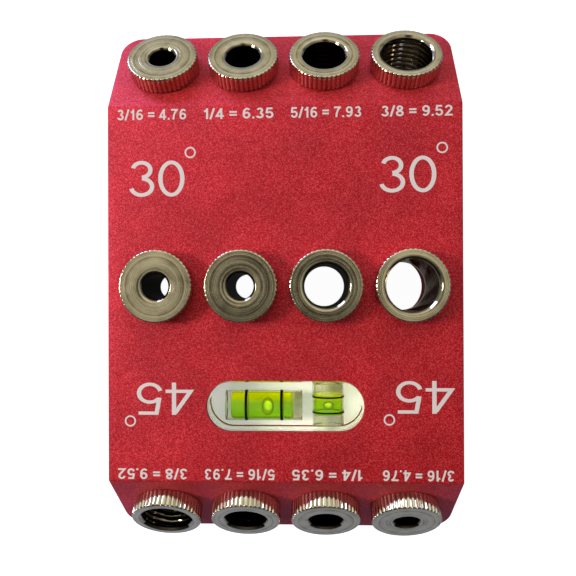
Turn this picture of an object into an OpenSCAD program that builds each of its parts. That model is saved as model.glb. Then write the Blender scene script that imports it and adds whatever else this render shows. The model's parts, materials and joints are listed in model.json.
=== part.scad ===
// Angle drill guide: an anodised block with three rows of screw-in drill bushes and a two-way level.
// X runs along the rows, Y from the 45 degree end to the 30 degree end, and Z up.
// The origin is the centre of the underside.

/* [Block] */
// Distance from the axis of an outer bush to the side of the block
side_margin = 9.75; // [8.5:0.25:16]
// Length of the block along its underside
body_len = 101; // [98:0.5:115]
// Height of the block
body_h = 20; // [19:0.5:26]
// Radius of the four upright corners
corner_r = 4; // [2:0.5:8]
// Bevel along the block's edges
edge_break = 0.4; // [0.2:0.1:0.8]
// Angle of the first sloping face from level
slope_30 = 30; // [25:1:32]
// Height that the first sloping face drops
drop_30 = 10; // [9:0.5:11]
// Angle of the second sloping face from level
slope_45 = 45; // [42:1:47]
// Height that the second sloping face drops
drop_45 = 13.7; // [13:0.1:15]

/* [Bush rows] */
// Gap between the heads of neighbouring bushes in a row
head_gap = 2.1; // [1:0.1:5]
// Place of the upright row along the block
row_90_y = -0.5; // [-3:0.5:3]

/* [Bushes] */
// How far the head stands out round the shank
head_lip = 0.7; // [0.6:0.05:1.2]
// Height of the head
head_h = 3.2; // [2.5:0.1:4]
// Teeth round the head
knurl_teeth = 46; // [36:1:60]
// Depth of a tooth
knurl_depth = 0.3; // [0.2:0.02:0.34]
// Plain rim above and below the teeth, bevelled over its whole width
head_bevel = 0.3; // [0.1:0.05:0.4]
// Wall of the bush with the widest bore
bush_wall = 1.24; // [1.1:0.02:2]
// Length of the shank below the head
shank_len = 10.3; // [8:0.1:11]
// Bevel that leads the shank into its hole
shank_lead = 0.8; // [0.4:0.1:1.2]
// Width of the relief groove under the head
relief_w = 0.9; // [0.6:0.1:1.4]
// Depth of the relief groove
relief_depth = 0.3; // [0.2:0.05:0.5]
// Bevel at the mouth of a bore
mouth_bevel = 0.4; // [0.2:0.05:0.7]

/* [Bores] */
// Bore for a 3/16 inch drill
bore_3_16 = 4.76; // [4.5:0.01:5]
// Bore for a 1/4 inch drill
bore_1_4 = 6.35; // [6:0.01:6.6]
// Bore for a 5/16 inch drill
bore_5_16 = 7.93; // [7.5:0.01:8.2]
// Bore for a 3/8 inch drill
bore_3_8 = 9.52; // [9:0.01:9.8]
// Room that a drill has in its bore, on the diameter
drill_room = 0.06; // [0.02:0.01:0.1]

/* [Block holes] */
// Room round a shank in its hole, on the radius
shank_room = 0.05; // [0.02:0.01:0.1]
// Bevel where a hole leaves the underside of the upright row
exit_bevel = 0.6; // [0.3:0.1:0.8]

/* [Level] */
// Length of the level's clear housing
level_len = 29.2; // [28:0.1:34]
// Width of the housing
level_w = 9.2; // [8.8:0.1:11]
// Height of the housing
level_h = 7.6; // [7.4:0.1:9]
// Round along the top rim of the housing
level_round = 0.5; // [0.2:0.05:0.6]
// Place of the level across the block
level_x = 0.2; // [-2:0.1:2]
// Distance from the edge of the second sloping face to the middle of the level
level_back = 14; // [13:0.25:16]
// Gap round the housing in its pocket
level_gap = 0.12; // [0.05:0.01:0.2]
// Thickness of the white pad under the housing
pad_h = 0.6; // [0.4:0.1:1]
// Clear cover above the vials
cover_h = 1; // [0.8:0.1:1.4]

/* [Long vial] */
// Outside diameter of the long vial
long_d = 5.5; // [5:0.1:6.2]
// Distance from the end of the housing to the long vial
long_inset = 3.3; // [2.5:0.05:4]
// How far the long vial lies nearer the sloping face than the middle of the housing
long_aside = 0.25; // [0:0.05:0.5]
// Distance between the middles of its two rings
long_ring_gap = 6.64; // [6:0.02:7]
// Place of the bubble's middle from the vial's middle
long_bubble_x = 0.75; // [-1:0.05:1]
// Length of the bubble along the vial
long_bubble_len = 2.4; // [2:0.1:3]
// Width of the bubble across the vial
long_bubble_w = 3.5; // [2.5:0.1:3.6]
// Depth of the bubble below the roof of the vial
long_bubble_h = 1.5; // [1:0.1:1.8]

/* [Cross vial] */
// Outside diameter of the cross vial
cross_d = 5.9; // [5:0.1:6]
// Length of the cross vial
cross_len = 7.8; // [7.4:0.1:8]
// Distance from the other end of the housing to the cross vial
cross_inset = 3.7; // [3:0.05:4.5]
// Distance between the two vials
vial_gap = 1.9; // [1.5:0.05:2.5]
// Distance between the middles of its two rings
cross_ring_gap = 2.85; // [2.5:0.05:3]
// Length of the plug at each end of the cross vial
cross_plug_len = 1.9; // [1.5:0.1:2]
// Length of the bubble along the vial
cross_bubble_len = 1.6; // [1.2:0.1:1.8]
// Width of the bubble across the vial
cross_bubble_w = 2.2; // [1.8:0.1:2.4]
// Depth of the bubble below the roof of the vial
cross_bubble_h = 1; // [0.7:0.1:1.2]

/* [Vials] */
// Wall of both vials
vial_wall = 0.25; // [0.2:0.05:0.5]
// Thickness of the long vial's closed end
vial_end = 1; // [0.8:0.1:1.4]
// Length of the plug in the long vial
long_plug_len = 1.6; // [1.2:0.1:2]
// Room between a vial and the housing
vial_room = 0.15; // [0.12:0.01:0.2]
// Width of a black ring
ring_w = 0.5; // [0.3:0.05:0.6]
// Thickness of a black ring
ring_t = 0.06; // [0.04:0.01:0.08]
// Room between two pieces that sit in one another inside a vial
vial_fit = 0.02; // [0.01:0.01:0.04]
// Room round a bubble
bubble_room = 0.12; // [0.08:0.01:0.2]

/* [Hidden] */
$fn = 96;

// Bushes in each row
row_count = 4;
// Length by which every cut runs past the face that it opens
overrun = 1;
// Smallest step that keeps two profiles from sharing a face
hair = 0.01;
// How far the plain rims stand inside the roots of the teeth
rim_step = 0.05;

red = "#b32a33";
steel = "#b9b4a2";
clear = "#dfe8e4";
lime = "#9fd313";
black = "#101412";
white = "#f2f2ee";

// Places along the block where a sloping face meets the top and the end
end_y = body_len / 2;
ridge_30_y = end_y - drop_30 / tan(slope_30);
ridge_45_y = -end_y + drop_45 / tan(slope_45);

// Middles of the two sloping faces, where their bushes stand
mid_30 = [(ridge_30_y + end_y) / 2, body_h - drop_30 / 2];
mid_45 = [(ridge_45_y - end_y) / 2, body_h - drop_45 / 2];

// The widest bore sets the shank, the head, the rows and the width of the block
shank_d = bore_3_8 + 2 * bush_wall;
head_d = shank_d + 2 * head_lip;
bush_pitch = head_d + head_gap;
body_w = (row_count - 1) * bush_pitch + 2 * side_margin;
head_r = head_d / 2;
rim_r = head_r - knurl_depth - rim_step;
shank_r = shank_d / 2;
hole_r = shank_r + shank_room;
// Longest straight way from a sloping face down through the block
through_len = 2 * body_h;

level_y = ridge_45_y + level_back;
level_z = body_h - level_h;
long_z = body_h - cover_h - vial_room - long_d / 2;
cross_z = body_h - cover_h - vial_room - cross_d / 2;
// The long vial fills what the cross vial leaves of the housing's length
long_len = level_len - long_inset - vial_gap - cross_d - cross_inset;
long_x = long_inset + (long_len - level_len) / 2;
cross_x = (level_len - cross_d) / 2 - cross_inset;
long_in_r = long_d / 2 - vial_wall;
cross_in_r = cross_d / 2 - vial_wall;
// Ends of the long vial's liquid, from the vial's middle
long_low = -long_len / 2 + vial_end + vial_fit;
long_high = long_len / 2 - long_plug_len - vial_fit;
// Half length of the cross vial's liquid
cross_half = cross_len / 2 - cross_plug_len - vial_fit;

// A solid with bevelled ends, turned from its outline about Z
module turned_bar(r, h, bevel_low, bevel_high) {
    rotate_extrude()
        polygon([
            [0, 0], [r - bevel_low, 0], [r, bevel_low],
            [r, h - bevel_high], [r - bevel_high, h], [0, h]
        ]);
}

// Places its children on a row: across at x, on the face whose middle is mid, leaning by lean
module on_face(x, mid, lean) {
    translate([x, mid[0], mid[1]])
        rotate([lean, 0, 0])
            children();
}

function row_x(i) = (i - (row_count - 1) / 2) * bush_pitch;

// Outline of the block seen from one side, with its bevelled long edges
module edge_profile(width) {
    polygon([
        [-width / 2 + edge_break, 0], [width / 2 - edge_break, 0],
        [width / 2, edge_break], [width / 2, body_h - edge_break],
        [width / 2 - edge_break, body_h], [-width / 2 + edge_break, body_h],
        [-width / 2, body_h - edge_break], [-width / 2, edge_break]
    ]);
}

// Plain slab with round upright corners and bevelled rims
module rounded_slab() {
    core_w = body_w - 2 * corner_r;
    core_len = body_len - 2 * corner_r;
    rotate([90, 0, 0])
        translate([0, 0, -core_len / 2])
            linear_extrude(core_len)
                edge_profile(body_w);
    rotate([90, 0, 90])
        translate([0, 0, -core_w / 2])
            linear_extrude(core_w)
                edge_profile(body_len);
    for (x = [-1, 1], y = [-1, 1])
        translate([x * core_w / 2, y * core_len / 2, 0])
            turned_bar(corner_r, body_h, edge_break, edge_break);
}

// Outline of the block from the side, with both sloping faces
module side_profile() {
    polygon([
        [-end_y - overrun, -overrun], [end_y + overrun, -overrun],
        [end_y + overrun, body_h - drop_30 - overrun * tan(slope_30)],
        [ridge_30_y, body_h], [ridge_30_y, body_h + overrun],
        [ridge_45_y, body_h + overrun], [ridge_45_y, body_h],
        [-end_y - overrun, body_h - drop_45 - overrun * tan(slope_45)]
    ]);
}

// Hole for one bush, drilled square to its face and out of the underside
module bush_hole() {
    translate([0, 0, -through_len])
        cylinder(r = hole_r, h = through_len + overrun);
}

// Flat plate with round ends, as long as the level
module obround(length, width, height) {
    linear_extrude(height) {
        square([length - width, width], center = true);
        for (x = [-1, 1])
            translate([x * (length - width) / 2, 0])
                circle(d = width);
    }
}

module guide_block() {
    color(red)
        difference() {
            intersection() {
                rounded_slab();
                rotate([90, 0, 90])
                    translate([0, 0, -body_w / 2 - overrun])
                        linear_extrude(body_w + 2 * overrun)
                            side_profile();
            }
            for (i = [0:row_count - 1]) {
                on_face(row_x(i), mid_30, -slope_30)
                    bush_hole();
                on_face(row_x(i), mid_45, slope_45)
                    bush_hole();
                translate([row_x(i), row_90_y, 0]) {
                    translate([0, 0, body_h])
                        bush_hole();
                    translate([0, 0, -overrun])
                        cylinder(
                            r1 = hole_r + exit_bevel + overrun,
                            r2 = hole_r - hair,
                            h = exit_bevel + overrun + hair
                        );
                }
            }
            translate([level_x, level_y, level_z - pad_h])
                obround(
                    level_len + 2 * level_gap,
                    level_w + 2 * level_gap,
                    level_h + pad_h + overrun
                );
        }
}

// Straight knurl: a ring of pointed teeth cut along the head
module knurl(r, teeth, depth, h) {
    linear_extrude(h)
        polygon([
            for (i = [0:2 * teeth - 1])
                (i % 2 == 0 ? r : r - depth) * [cos(180 * i / teeth), sin(180 * i / teeth)]
        ]);
}

// One drill bush: knurled head from z = 0 up, shank below, bored through
module bush(bore_d) {
    bore_r = (bore_d + drill_room) / 2;
    neck_r = shank_r - relief_depth;
    color(steel)
        difference() {
            union() {
                turned_bar(rim_r, head_h, hair, head_bevel);
                translate([0, 0, head_bevel])
                    knurl(head_r, knurl_teeth, knurl_depth, head_h - 2 * head_bevel);
                translate([0, 0, -shank_len])
                    rotate_extrude()
                        polygon([
                            [0, 0], [shank_r - shank_lead, 0], [shank_r, shank_lead],
                            [shank_r, shank_len - relief_w - relief_depth],
                            [neck_r, shank_len - relief_w],
                            [neck_r, shank_len + head_bevel], [0, shank_len + head_bevel]
                        ]);
            }
            translate([0, 0, -shank_len - overrun])
                cylinder(r = bore_r, h = shank_len + head_h + 2 * overrun);
            translate([0, 0, head_h - mouth_bevel])
                cylinder(r1 = bore_r, r2 = bore_r + mouth_bevel + overrun, h = mouth_bevel + overrun);
        }
}

module bush_30(i, bore_d) {
    on_face(row_x(i), mid_30, -slope_30)
        bush(bore_d);
}

module bush_90(i, bore_d) {
    on_face(row_x(i), [row_90_y, body_h], 0)
        bush(bore_d);
}

module bush_45(i, bore_d) {
    on_face(row_x(i), mid_45, slope_45)
        bush(bore_d);
}

module at_level() {
    translate([level_x, level_y, 0])
        children();
}

// Lays its children, drawn along Z, along the long vial, with z = 0 at the vial's middle
module along_long() {
    at_level()
        translate([long_x, -long_aside, long_z])
            rotate([90, 0, 90])
                children();
}

// The same for the cross vial, with z running to +Y
module along_cross() {
    at_level()
        translate([cross_x, 0, cross_z])
            rotate([-90, 180, 0])
                children();
}

// Slot with a round roof for a vial, open at the underside of the housing
module vial_slot(r, length, axis_z) {
    translate([0, 0, -length / 2])
        linear_extrude(length) {
            circle(r = r);
            translate([-r, level_z - axis_z - overrun])
                square([2 * r, axis_z - level_z + overrun]);
        }
}

// Half of the housing's outline seen from its end, with its top rim rounded
module housing_profile() {
    square([level_w / 2 - level_round, level_h]);
    square([level_w / 2, level_h - level_round]);
    translate([level_w / 2 - level_round, level_h - level_round])
        circle(r = level_round);
}

// Plate with round ends and a rounded top rim
module housing_body() {
    straight = level_len - level_w;
    rotate([90, 0, 90])
        translate([0, 0, -straight / 2])
            linear_extrude(straight)
                for (side = [0, 1])
                    mirror([side, 0, 0])
                        housing_profile();
    for (x = [-1, 1])
        translate([x * straight / 2, 0, 0])
            rotate_extrude()
                housing_profile();
}

module level_housing() {
    color(clear)
        difference() {
            at_level()
                translate([0, 0, level_z])
                    housing_body();
            along_long()
                vial_slot(long_d / 2 + vial_room, long_len + 2 * vial_room, long_z);
            along_cross()
                vial_slot(cross_d / 2 + vial_room, cross_len + 2 * vial_room, cross_z);
        }
}

module level_pad() {
    color(white)
        at_level()
            translate([0, 0, level_z - pad_h])
                obround(level_len, level_w, pad_h);
}

// Two thin bands round a vial
module rings(r, gap) {
    for (z = [-1, 1])
        translate([0, 0, z * gap / 2 - ring_w / 2])
            difference() {
                cylinder(r = r + vial_fit + ring_t, h = ring_w);
                translate([0, 0, -overrun])
                    cylinder(r = r + vial_fit, h = ring_w + 2 * overrun);
            }
}

// Bubble under the roof of a vial: x is across the vial, y is up and z is along it
module bubble(in_r, length, width, depth) {
    roof = in_r - bubble_room;
    intersection() {
        translate([0, 0, -length])
            cylinder(r = roof, h = 2 * length);
        translate([-width, roof - depth + length / 2, 0])
            rotate([0, 90, 0])
                cylinder(d = length, h = 2 * width);
        rotate([90, 0, 0])
            translate([0, 0, -in_r])
                cylinder(d = width, h = 2 * in_r);
    }
}

// Liquid between z = low and z = high, with the channel that the bubble runs in
module liquid(in_r, low, high, width, depth) {
    difference() {
        translate([0, 0, low])
            cylinder(r = in_r - vial_fit, h = high - low);
        translate([-width / 2 - bubble_room, in_r - depth - 2 * bubble_room, low - overrun])
            cube([width + 2 * bubble_room, depth + 2 * bubble_room + overrun, high - low + 2 * overrun]);
    }
}

module long_vial() {
    color(clear)
        along_long()
            difference() {
                translate([0, 0, -long_len / 2])
                    cylinder(d = long_d, h = long_len);
                translate([0, 0, -long_len / 2 + vial_end])
                    cylinder(r = long_in_r, h = long_len);
            }
}

module long_plug() {
    color(clear)
        along_long()
            translate([0, 0, long_len / 2 - long_plug_len])
                cylinder(r = long_in_r - vial_fit, h = long_plug_len);
}

module long_liquid() {
    color(lime)
        along_long()
            liquid(long_in_r, long_low, long_high, long_bubble_w, long_bubble_h);
}

module long_rings() {
    color(black)
        along_long()
            rings(long_d / 2, long_ring_gap);
}

module long_bubble() {
    color(white)
        along_long()
            translate([0, 0, long_bubble_x])
                bubble(long_in_r, long_bubble_len, long_bubble_w, long_bubble_h);
}

module cross_vial() {
    color(clear)
        along_cross()
            difference() {
                translate([0, 0, -cross_len / 2])
                    cylinder(d = cross_d, h = cross_len);
                translate([0, 0, -cross_len / 2 - overrun])
                    cylinder(r = cross_in_r, h = cross_len + 2 * overrun);
            }
}

module cross_plugs() {
    color(clear)
        along_cross()
            for (z = [-cross_len / 2, cross_len / 2 - cross_plug_len])
                translate([0, 0, z])
                    cylinder(r = cross_in_r - vial_fit, h = cross_plug_len);
}

module cross_liquid() {
    color(lime)
        along_cross()
            liquid(cross_in_r, -cross_half, cross_half, cross_bubble_w, cross_bubble_h);
}

module cross_rings() {
    color(black)
        along_cross()
            rings(cross_d / 2, cross_ring_gap);
}

module cross_bubble() {
    color(white)
        along_cross()
            bubble(cross_in_r, cross_bubble_len, cross_bubble_w, cross_bubble_h);
}

guide_block();
bush_30(0, bore_3_16);  // bush_30_3_16
bush_30(1, bore_1_4);  // bush_30_1_4
bush_30(2, bore_5_16);  // bush_30_5_16
bush_30(3, bore_3_8);  // bush_30_3_8
bush_90(0, bore_3_16);  // bush_90_3_16_outer
bush_90(1, bore_3_16);  // bush_90_3_16_inner
bush_90(2, bore_5_16);  // bush_90_5_16
bush_90(3, bore_3_8);  // bush_90_3_8
bush_45(0, bore_3_8);  // bush_45_3_8
bush_45(1, bore_5_16);  // bush_45_5_16
bush_45(2, bore_1_4);  // bush_45_1_4
bush_45(3, bore_3_16);  // bush_45_3_16
level_housing();
level_pad();
long_vial();
long_plug();
long_liquid();
long_rings();
long_bubble();
cross_vial();
cross_plugs();
cross_liquid();
cross_rings();
cross_bubble();
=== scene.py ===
import json
import math
import bmesh
import bpy
from mathutils import Matrix, Vector


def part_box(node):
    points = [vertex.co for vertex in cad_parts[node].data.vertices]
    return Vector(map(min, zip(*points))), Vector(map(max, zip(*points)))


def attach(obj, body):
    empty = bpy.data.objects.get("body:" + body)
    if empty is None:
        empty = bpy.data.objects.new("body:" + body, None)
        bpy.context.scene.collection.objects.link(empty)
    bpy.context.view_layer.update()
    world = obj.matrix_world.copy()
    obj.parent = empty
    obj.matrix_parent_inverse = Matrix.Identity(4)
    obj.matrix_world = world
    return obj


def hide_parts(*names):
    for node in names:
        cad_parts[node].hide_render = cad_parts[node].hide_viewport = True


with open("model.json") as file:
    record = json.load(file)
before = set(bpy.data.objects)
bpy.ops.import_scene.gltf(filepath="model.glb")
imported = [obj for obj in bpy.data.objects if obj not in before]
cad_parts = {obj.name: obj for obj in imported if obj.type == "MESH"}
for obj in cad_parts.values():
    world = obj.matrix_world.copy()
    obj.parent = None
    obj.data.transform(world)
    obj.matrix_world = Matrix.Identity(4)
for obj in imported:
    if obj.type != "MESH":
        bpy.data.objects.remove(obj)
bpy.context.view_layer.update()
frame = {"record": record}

mm = 0.001


# Colours and nodes

def toLinear(hexColour):
    channels = [int(hexColour[i:i + 2], 16) / 255 for i in (1, 3, 5)]
    return [c / 12.92 if c <= 0.04045 else ((c + 0.055) / 1.055) ** 2.4 for c in channels] + [1]


def setSockets(tree, node, values):
    # values maps an input's name or number to a socket to join or a value to set
    for name, value in values.items():
        if isinstance(value, bpy.types.NodeSocket):
            tree.links.new(value, node.inputs[name])
        else:
            node.inputs[name].default_value = value


def addNode(tree, kind, values=None, **settings):
    node = tree.nodes.new(kind)
    for name, value in settings.items():
        setattr(node, name, value)
    setSockets(tree, node, values or {})
    return node


def startMaterial(name):
    # a fresh material with its node tree, its shader and the places of its piece's points
    material = bpy.data.materials.new(name)
    material.use_nodes = True
    tree = material.node_tree
    place = addNode(tree, "ShaderNodeTexCoord").outputs["Object"]
    return material, tree, tree.nodes["Principled BSDF"], place


def setRamp(node, stops):
    elements = node.color_ramp.elements
    while len(elements) < len(stops):
        elements.new(1)
    for element, (place, colour) in zip(elements, stops):
        element.position = place
        element.color = toLinear(colour)
    return node


# Materials

anodised = {
    "base": "#c9161c",
    "deep": "#9e060c",
    "pale": "#ea525b",
    "grit": 0.13,          # mm across a blasted dimple, drawn coarser than real so that it shows
    "dimpleDepth": 0.012,  # mm
    "patch": 9.0,          # mm, slow drift of the dye
    "drift": "#e9e9e9",    # the darkest that it goes
    "metallic": 0.25,
    "roughness": 0.55,
    "oxideIor": 1.5,       # the clear film of oxide that holds the dye
    "sheen": "#e2c6ff",    # its glance is a little violet
    "haze": 0.11,          # what the blasted skin scatters at a low angle
    "hazeRoughness": 0.4,
    "tapPitch": 1.25,      # mm, of the threads in the holes
    "tapDepth": 0.6,       # mm
}


def makeAnodisedRed():
    # aluminium, bead blasted and dyed red: a fine even sparkle with no direction, soft satin light
    look = anodised
    material, tree, shader, place = startMaterial("anodisedRedAluminium")
    grit = addNode(tree, "ShaderNodeTexVoronoi", {
        "Vector": place, "Scale": 1 / (look["grit"] * mm), "Randomness": 1.0})
    grain = addNode(tree, "ShaderNodeSeparateColor", {0: grit.outputs["Color"]})
    speckle = setRamp(addNode(tree, "ShaderNodeValToRGB", {"Fac": grain.outputs[0]}), [
        (0.0, look["deep"]), (0.5, look["base"]), (1.0, look["pale"])])
    patch = addNode(tree, "ShaderNodeTexNoise", {
        "Vector": place, "Scale": 1 / (look["patch"] * mm), "Detail": 3.0, "Roughness": 0.5})
    drift = setRamp(addNode(tree, "ShaderNodeValToRGB", {"Fac": patch.outputs["Fac"]}), [
        (0.35, look["drift"]), (0.65, "#ffffff")])
    colour = addNode(tree, "ShaderNodeMix", {
        0: 1.0, 6: speckle.outputs["Color"], 7: drift.outputs["Color"]},
        data_type="RGBA", blend_type="MULTIPLY")
    # threads in the holes: ridges one pitch apart, on the faces that markTaps finds
    depth = addNode(tree, "ShaderNodeAttribute", attribute_name="holeDepth")
    tapped = addNode(tree, "ShaderNodeAttribute", attribute_name="tapped")
    turns = addNode(tree, "ShaderNodeMath", {
        0: depth.outputs["Fac"], 1: 1 / (look["tapPitch"] * mm)}, operation="MULTIPLY")
    flank = addNode(tree, "ShaderNodeMath", {0: turns.outputs[0], 1: 0.5}, operation="PINGPONG")
    height = addNode(tree, "ShaderNodeMath", {
        0: flank.outputs[0], 1: tapped.outputs["Fac"]}, operation="MULTIPLY")
    thread = addNode(tree, "ShaderNodeBump", {
        "Distance": 2 * look["tapDepth"] * mm, "Height": height.outputs[0]})
    dimples = addNode(tree, "ShaderNodeBump", {
        "Strength": 0.5, "Distance": look["dimpleDepth"] * mm, "Height": grain.outputs[1],
        "Normal": thread.outputs["Normal"]})
    setSockets(tree, shader, {
        "Base Color": colour.outputs[2], "Metallic": look["metallic"], "Roughness": look["roughness"],
        "IOR": look["oxideIor"], "Specular Tint": toLinear(look["sheen"]),
        "Sheen Weight": look["haze"], "Sheen Roughness": look["hazeRoughness"],
        "Sheen Tint": toLinear(look["sheen"]), "Normal": dimples.outputs["Normal"]})
    return material


nickel = {
    "base": "#cbc6b2",
    "worn": "#7d7460",
    "bore": "#332c22",       # painted shade deep in the bores, where little light reaches
    "ringPitch": 0.5,        # mm between turning marks, coarser than real so that they show
    "ringDepth": 0.05,       # mm
    "stainMarks": 420.0,     # handling marks in a metre, so 2.4 mm each
    "stain": 0.3,            # how far they join in
    "roughness": 0.09,
    "faceRoughness": 0.08,   # more of it on a face
    "grooved": 0.6,          # how far the turning marks stretch a highlight across them
}


def makeTurnedNickel():
    # steel, turned on a lathe and nickel plated: rings round the axis, warm grey, sharp highlights
    look = nickel
    material, tree, shader, place = startMaterial("turnedNickelPlate")
    turned = addNode(tree, "ShaderNodeAttribute", attribute_name="turned")
    across = addNode(tree, "ShaderNodeAttribute", attribute_name="acrossGrooves")
    # x is the distance from the axis, y the share of flat face and z the share of painted shade in the
    # bore
    parts = addNode(tree, "ShaderNodeSeparateXYZ", {0: turned.outputs["Vector"]}).outputs
    line = addNode(tree, "ShaderNodeCombineXYZ", {"X": parts["X"]})
    rings = addNode(tree, "ShaderNodeTexNoise", {
        "Vector": line.outputs[0], "Scale": 1 / (look["ringPitch"] * mm),
        "Detail": 3.0, "Roughness": 0.85}).outputs["Fac"]
    stain = addNode(tree, "ShaderNodeTexNoise", {
        "Vector": place, "Scale": look["stainMarks"], "Detail": 4.0})
    tint = addNode(tree, "ShaderNodeMath", {
        0: stain.outputs["Fac"], 1: look["stain"], 2: rings}, operation="MULTIPLY_ADD")
    plate = setRamp(addNode(tree, "ShaderNodeValToRGB", {"Fac": tint.outputs[0]}), [
        (0.5, look["worn"]), (0.68, look["base"])])
    # painted shade: the bore's walls are mixed towards the dark bore colour
    colour = addNode(tree, "ShaderNodeMix", {
        0: parts["Z"], 6: plate.outputs["Color"], 7: toLinear(look["bore"])}, data_type="RGBA")
    bump = addNode(tree, "ShaderNodeBump", {"Distance": look["ringDepth"] * mm, "Height": rings})
    grooved = addNode(tree, "ShaderNodeMath", {0: parts["Y"], 1: look["grooved"]}, operation="MULTIPLY")
    rough = addNode(tree, "ShaderNodeMath", {
        0: parts["Y"], 1: look["faceRoughness"], 2: look["roughness"]}, operation="MULTIPLY_ADD")
    setSockets(tree, shader, {
        "Base Color": colour.outputs[2], "Metallic": 1.0, "Roughness": rough.outputs[0],
        "Normal": bump.outputs["Normal"], "Tangent": across.outputs["Vector"],
        "Anisotropic": grooved.outputs[0]})
    return material


def letLightThrough(tree, shader, tint):
    # lets the lamps reach what lies inside a clear piece, which a path of bent rays does too slowly
    path = addNode(tree, "ShaderNodeLightPath")
    clear = addNode(tree, "ShaderNodeBsdfTransparent", {"Color": toLinear(tint)})
    mix = addNode(tree, "ShaderNodeMixShader", {
        0: path.outputs["Is Shadow Ray"], 1: shader.outputs[0], 2: clear.outputs[0]})
    setSockets(tree, tree.nodes["Material Output"], {"Surface": mix.outputs[0]})


def mottled(tree, place, marks, tones, strength, depth):
    # one cloudy pattern, with so many marks in a metre, that gives both the tones and a relief in mm
    noise = addNode(tree, "ShaderNodeTexNoise", {"Vector": place, "Scale": marks, "Detail": 2.0})
    colour = setRamp(addNode(tree, "ShaderNodeValToRGB", {"Fac": noise.outputs["Fac"]}), tones)
    bump = addNode(tree, "ShaderNodeBump", {
        "Strength": strength, "Distance": depth * mm, "Height": noise.outputs["Fac"]})
    return {"Base Color": colour.outputs["Color"], "Normal": bump.outputs["Normal"]}


acrylic = {
    "roughness": 0.03,
    "ior": 1.49,
    "flowMarks": 260.0,   # in a metre, so 3.8 mm each
    "flowStrength": 0.3,
}


def makeClearAcrylic(name, tint, waver, gloss, glow=0.0):
    # cast acrylic, moulded and polished: clear as glass with faint flow marks waver mm deep; the
    # plugs take a little of the liquid's glow, which a path of bent rays seldom finds
    look = acrylic
    material, tree, shader, place = startMaterial(name)
    flow = mottled(tree, place, look["flowMarks"], [(0.3, tint), (0.7, "#ffffff")],
                   look["flowStrength"], waver)
    setSockets(tree, shader, {
        **flow, "Roughness": look["roughness"], "IOR": look["ior"], "Transmission Weight": 1.0,
        "Specular Tint": (gloss, gloss, gloss, 1), "Emission Color": toLinear(tint),
        "Emission Strength": glow})
    letLightThrough(tree, shader, tint)
    return material


def shareAcross(tree, place, box):
    # 0 on a box's far side and 1 on the side towards the window
    way = addNode(tree, "ShaderNodeSeparateXYZ", {0: place})
    return addNode(tree, "ShaderNodeMapRange", {
        "Value": way.outputs["Y"], "From Min": box[0].y, "From Max": box[1].y}).outputs[0]


spirit = {
    "roughness": 0.05,
    "ior": 1.36,
    "clear": 0.92,
    "gloss": 0.1,
    # painted glow, which stands in for the dye's fluorescence
    "glow": 0.23,
    "clouds": 180.0,      # in a metre, so 5.6 mm each
    "cloudShare": 0.3,
    # painted light: the tones grow yellower towards the window side, with clouds between
    "tones": [(0.2, "#86c41c"), (0.85, "#a2ce0e"), (1.0, "#dce600")],
    "shadow": "#c8ef10",
}


def makeLimeLiquid(box):
    # spirit dyed with fluorescein: clear lime green with a painted glow for its fluorescence, painted
    # yellower on the side that light enters
    look = spirit
    material, tree, shader, place = startMaterial("fluorescentLevelSpirit")
    cloud = addNode(tree, "ShaderNodeTexNoise", {
        "Vector": place, "Scale": look["clouds"], "Detail": 1.0})
    fade = addNode(tree, "ShaderNodeMath", {
        0: cloud.outputs["Fac"], 1: look["cloudShare"], 2: shareAcross(tree, place, box)},
        operation="MULTIPLY_ADD")
    colour = setRamp(addNode(tree, "ShaderNodeValToRGB", {"Fac": fade.outputs[0]}), look["tones"])
    setSockets(tree, shader, {
        "Base Color": colour.outputs["Color"], "Roughness": look["roughness"], "IOR": look["ior"],
        "Transmission Weight": look["clear"], "Specular Tint": (*[look["gloss"]] * 3, 1),
        "Emission Color": colour.outputs["Color"], "Emission Strength": look["glow"]})
    letLightThrough(tree, shader, look["shadow"])
    return material


air = {
    "roughness": 0.02,
    "ior": 0.735,         # air against the spirit
    # painted light and shade: a glow, a pale middle and a dark, opaque rim stand in for how the bubble
    # bends the light
    "glow": 0.55,
    "clearness": [(0.70, "#ffffff"), (0.80, "#000000")],
    "tones": [(0.58, "#ffffb0"), (0.70, "#8c9220"), (0.82, "#1c2008")],
    "sideTones": [(0.15, "#c4bc82"), (0.5, "#90a018"), (0.8, "#f0f600")],
    "shadow": "#eef8a0",
}


def makeBubbleAir(box):
    # air in the spirit: a clear pocket with painted shade for its dark rim and a painted glow, bright
    # where the window side lights it
    look = air
    material, tree, shader, place = startMaterial("airBubble")
    rim = addNode(tree, "ShaderNodeAttribute", attribute_name="rim").outputs["Fac"]
    clear, colour, lit = [
        setRamp(addNode(tree, "ShaderNodeValToRGB", {"Fac": share}), look[tones]).outputs["Color"]
        for share, tones in ((rim, "clearness"), (rim, "tones"),
                             (shareAcross(tree, place, box), "sideTones"))]
    glow = addNode(tree, "ShaderNodeMix", {0: 1.0, 6: colour, 7: lit},
                   data_type="RGBA", blend_type="MULTIPLY")
    setSockets(tree, shader, {
        "Base Color": colour, "Roughness": look["roughness"], "IOR": look["ior"],
        "Transmission Weight": clear, "Emission Color": glow.outputs[2],
        "Emission Strength": look["glow"]})
    letLightThrough(tree, shader, look["shadow"])
    return material


def makeMatt(name, low, high, grain, roughness, depth, glow=0.0, gloss=0.5):
    # print, foam tape or whitened oxide, left as it was laid: dull, with an even grain in mm; the
    # tape's glow is light that the clear housing pipes down, which a path of bent rays seldom finds
    material, tree, shader, place = startMaterial(name)
    pattern = mottled(tree, place, 1 / (grain * mm), [(0.35, low), (0.65, high)], 0.4, depth)
    setSockets(tree, shader, {
        **pattern, "Roughness": roughness, "Specular IOR Level": gloss, "Emission Strength": glow})
    if glow:
        setSockets(tree, shader, {"Emission Color": pattern["Base Color"]})
    return material


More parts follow.
